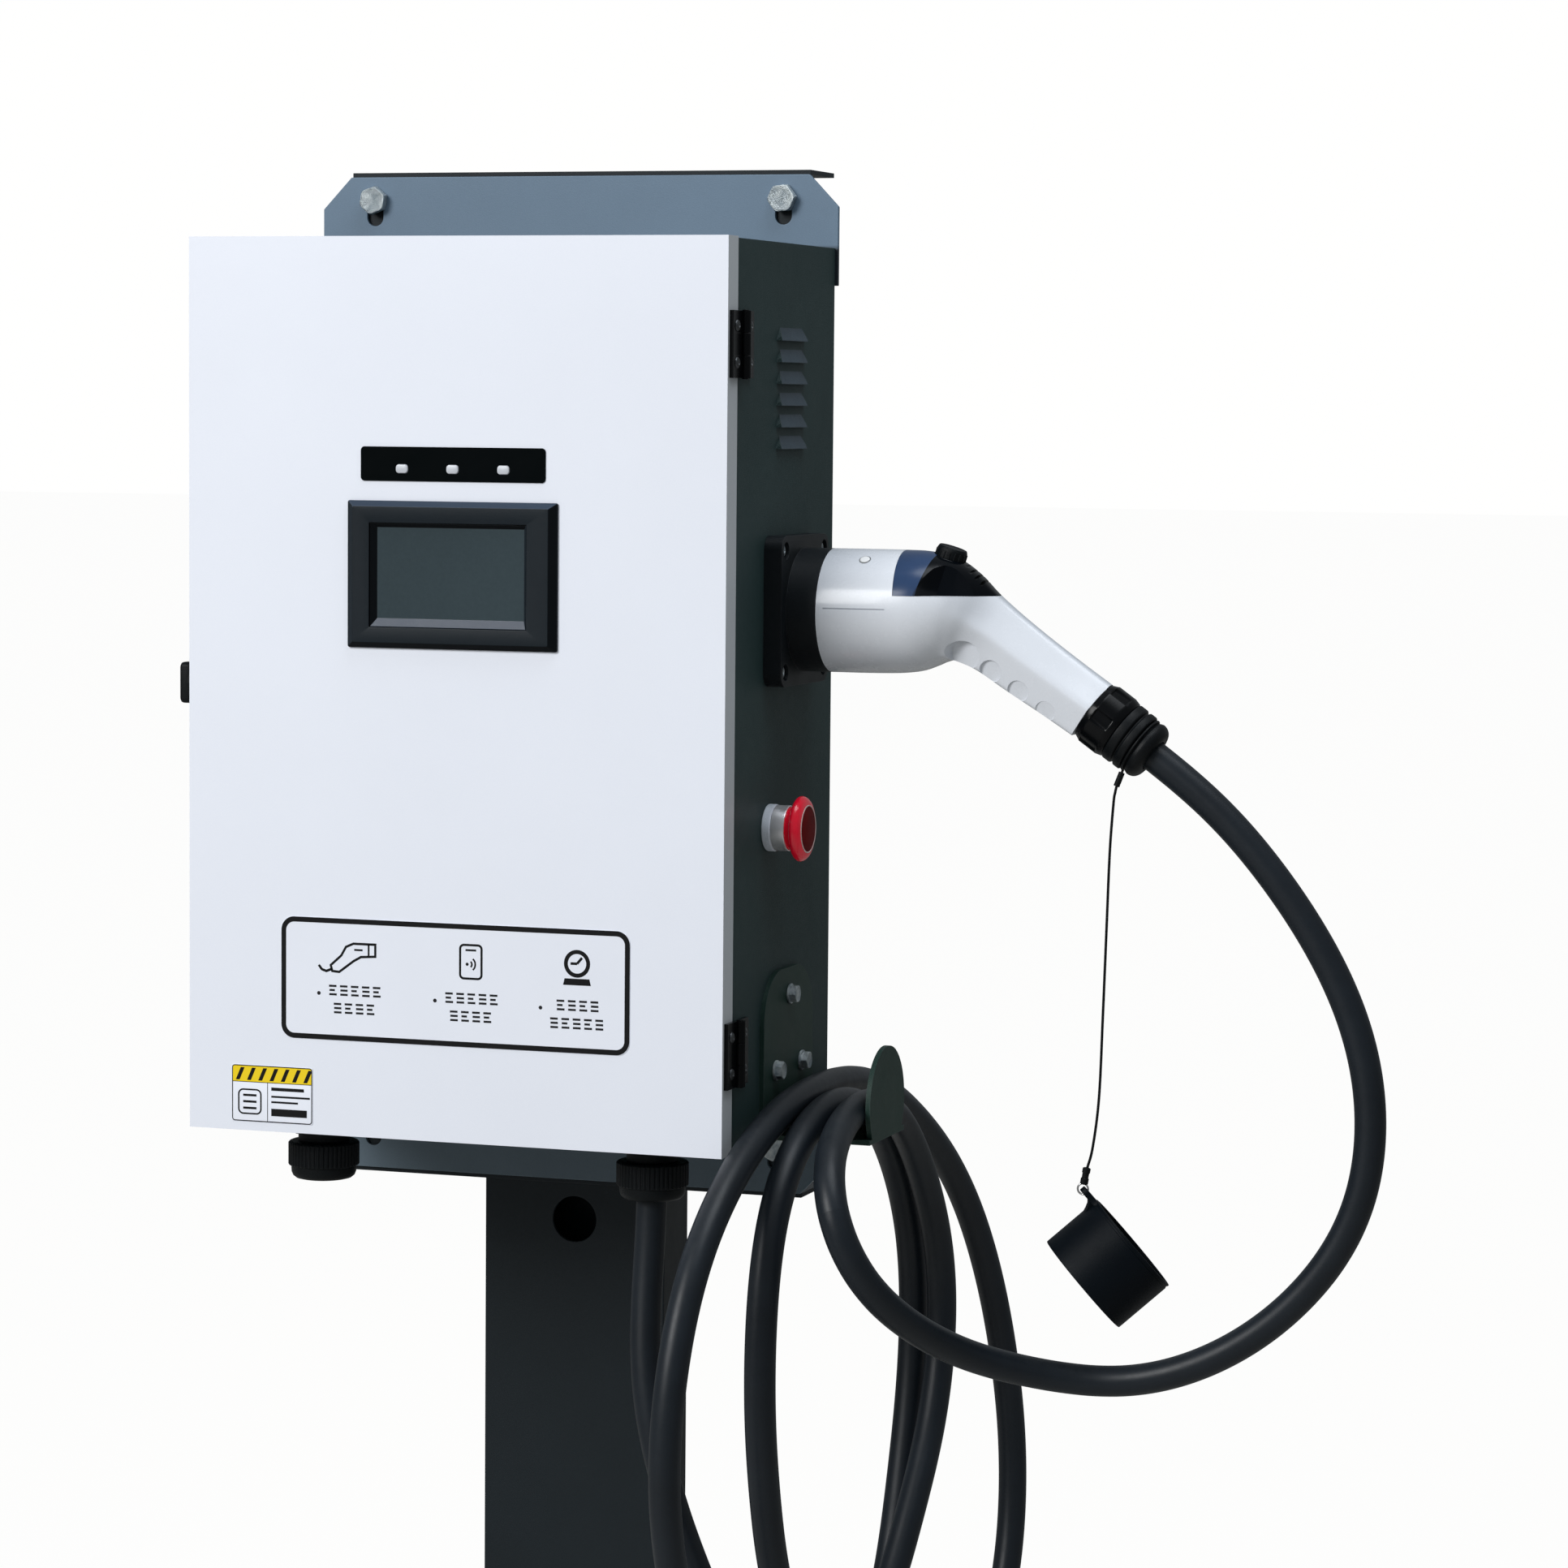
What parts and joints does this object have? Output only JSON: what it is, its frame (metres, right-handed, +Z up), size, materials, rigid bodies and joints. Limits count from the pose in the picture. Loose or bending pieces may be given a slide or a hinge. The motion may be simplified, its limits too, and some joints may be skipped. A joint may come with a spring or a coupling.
{
  "type": "ev charging post",
  "caption": "Steel post carrying a wall-box cabinet with a hinged door and screen, holstered charging connector, coiled cable on a hook, dust cap and emergency stop.",
  "frame": {"origin": "on the ground, under the centre of the post, at the underside of the base plate", "axes": "+Z up, -Y out of the door's front, +X towards the connector's side"},
  "size_m": [0.7372, 0.5465, 1.4985],
  "materials": {
    "post_paint": "satin charcoal",
    "cabinet_paint": "fine textured dark green-grey",
    "bracket_paint": "satin blue-grey",
    "door_paint": "smooth satin white",
    "zinc": "zinc plated",
    "steel": "bright",
    "black_gloss": "gloss black",
    "black_matte": "matt black",
    "white_gloss": "gloss off-white",
    "grey_plastic": "matt grey",
    "light_plastic": "matt light grey",
    "red_plastic": "gloss red",
    "green_plastic": "matt green",
    "glass": "dark display glass",
    "lens": "frosted clear",
    "alu": "mill finish",
    "brass": "silver-plated",
    "chrome": "brushed chrome",
    "rubber": "matt black rubber",
    "label_white": "printed film",
    "label_yellow": "printed film"
  },
  "bodies": {
    "post_frame": {"base_plate": "post_paint", "base_gussets": "post_paint", "post_tube": "post_paint", "upper_cross_bracket": "post_paint", "lower_cross_bracket": "post_paint", "upper_ear_plate": "bracket_paint", "lower_ear_plate": "bracket_paint", "mounting_bolts": "zinc", "mounting_washers": "zinc", "mounting_nuts": "zinc", "cabinet_body": "cabinet_paint", "equipment_plate": "zinc", "power_module": "alu", "contactors": "black_matte", "din_rail": "zinc", "breaker_body": "light_plastic", "terminal_block": "grey_plastic", "hinge_body_leaves": "black_gloss", "hinge_pins": "steel", "hinge_body_screws": "steel", "holster": "black_matte", "holster_screws": "steel", "estop_collar": "chrome", "estop_contact_block": "green_plastic", "cable_hook": "bracket_paint", "hook_bolts": "zinc", "gland_bodies": "black_matte", "gland_caps": "black_matte", "gland_locknuts": "black_matte", "cable_loops": "rubber"},
    "fan": {"fan_rotor": "black_matte"},
    "breaker_switch": {"breaker_lever": "black_matte"},
    "door": {"door_panel": "door_paint", "door_gasket": "rubber", "hinge_door_leaves": "black_gloss", "hinge_door_screws": "steel", "lock_housing": "black_matte", "display_bezel": "black_matte", "display_glass": "glass", "display_module": "grey_plastic", "indicator_overlay": "black_gloss", "indicator_lenses": "lens", "instruction_label": "label_white", "hazard_label": "label_yellow"},
    "lock": {"lock_knob": "black_matte", "lock_cam": "zinc"},
    "connector": {"connector_shell": "white_gloss", "connector_top_cover": "black_gloss", "connector_nose": "black_matte", "connector_contacts": "brass", "cable_nut": "black_gloss", "strain_relief": "rubber", "lanyard_ferrule": "steel", "cable_lead": "rubber"},
    "button": {"release_button": "black_gloss"},
    "latch": {"latch_lever": "grey_plastic"},
    "lanyard": {"lanyard_wire": "rubber"},
    "cap": {"dust_cap": "rubber"},
    "stop_rod": {"estop_stem": "steel"},
    "stop_head": {"estop_mushroom": "red_plastic"}
  },
  "joints": [
    {"name": "door_hinge", "type": "hinge", "parent": "post_frame", "child": "door", "pos_m": [0.1785, -0.212, 1.175], "axis": [0, 0, 1], "range_deg": [0, 110], "deforming": ["cable_loops", "cable_lead"]},
    {"name": "door_lock", "type": "hinge", "parent": "door", "child": "lock", "pos_m": [-0.175, -0.225, 1.176], "axis": [1, 0, 0], "range_deg": [0, 90]},
    {"name": "fan_spin", "type": "hinge", "parent": "post_frame", "child": "fan", "pos_m": [0.038, -0.096, 1.356], "axis": [1, 0, 0], "continuous": true},
    {"name": "breaker_toggle", "type": "hinge", "parent": "post_frame", "child": "breaker_switch", "pos_m": [-0.113, -0.103, 1.115], "axis": [1, 0, 0], "range_deg": [0, 50]},
    {"name": "connector_withdraw", "type": "slide", "parent": "post_frame", "child": "connector", "axis": [1, 0, 0], "range_m": [0, 0.06]},
    {"name": "release_press", "type": "slide", "parent": "connector", "child": "button", "axis": [-0.3007, 0, -0.9537], "range_m": [0, 0.0025], "stiffness_N_per_m": 300},
    {"name": "latch_lift", "type": "hinge", "parent": "connector", "child": "latch", "pos_m": [0.24, -0.117, 1.2475], "axis": [0, 1, 0], "range_deg": [0, 4]},
    {"name": "lanyard_swing", "type": "hinge", "parent": "connector", "child": "lanyard", "pos_m": [0.385, -0.117, 1.1226], "axis": [0, 1, 0], "range_deg": [-8, 10]},
    {"name": "dust_cap_swing", "type": "hinge", "parent": "lanyard", "child": "cap", "pos_m": [0.36754, -0.117, 0.8758], "axis": [0, 1, 0], "range_deg": [-15, 20]},
    {"name": "stop_press", "type": "slide", "parent": "post_frame", "child": "stop_rod", "axis": [-1, 0, 0], "range_m": [0, 0.0035], "stiffness_N_per_m": 1500},
    {"name": "stop_twist", "type": "hinge", "parent": "stop_rod", "child": "stop_head", "pos_m": [0.19, -0.15, 1.0925], "axis": [1, 0, 0], "range_deg": [0, 40]}
  ],
  "couplings": [
    {"joint": "latch_lift", "follows": "release_press", "rad_per_m": 27.5}
  ]
}
